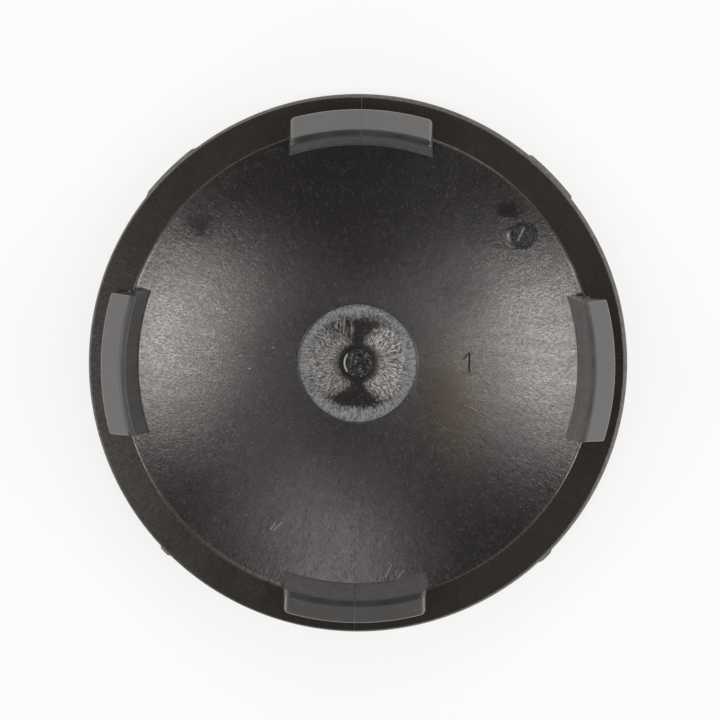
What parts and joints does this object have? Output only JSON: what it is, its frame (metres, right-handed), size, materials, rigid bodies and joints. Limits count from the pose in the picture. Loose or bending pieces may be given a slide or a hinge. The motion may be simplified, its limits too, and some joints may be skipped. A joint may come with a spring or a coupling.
{
  "type": "wheel centre cap",
  "caption": "Round domed wheel centre cap with a dished moulded back and wide barbed snap clips round its flange.",
  "frame": {"origin": "middle of the lowest point of the domed front, on which the cap lies", "axes": "+Z from the domed front towards the clips; +X and +Y each run through the middle of a clip"},
  "size_m": [0.06, 0.06, 0.015],
  "materials": {
    "black_nylon": "satin moulded, glass fibres at the surface",
    "bare_aluminium": "fine satin"
  },
  "bodies": {
    "root": {"face_sheet": "bare_aluminium", "moulded_body": "black_nylon"}
  },
  "joints": []
}
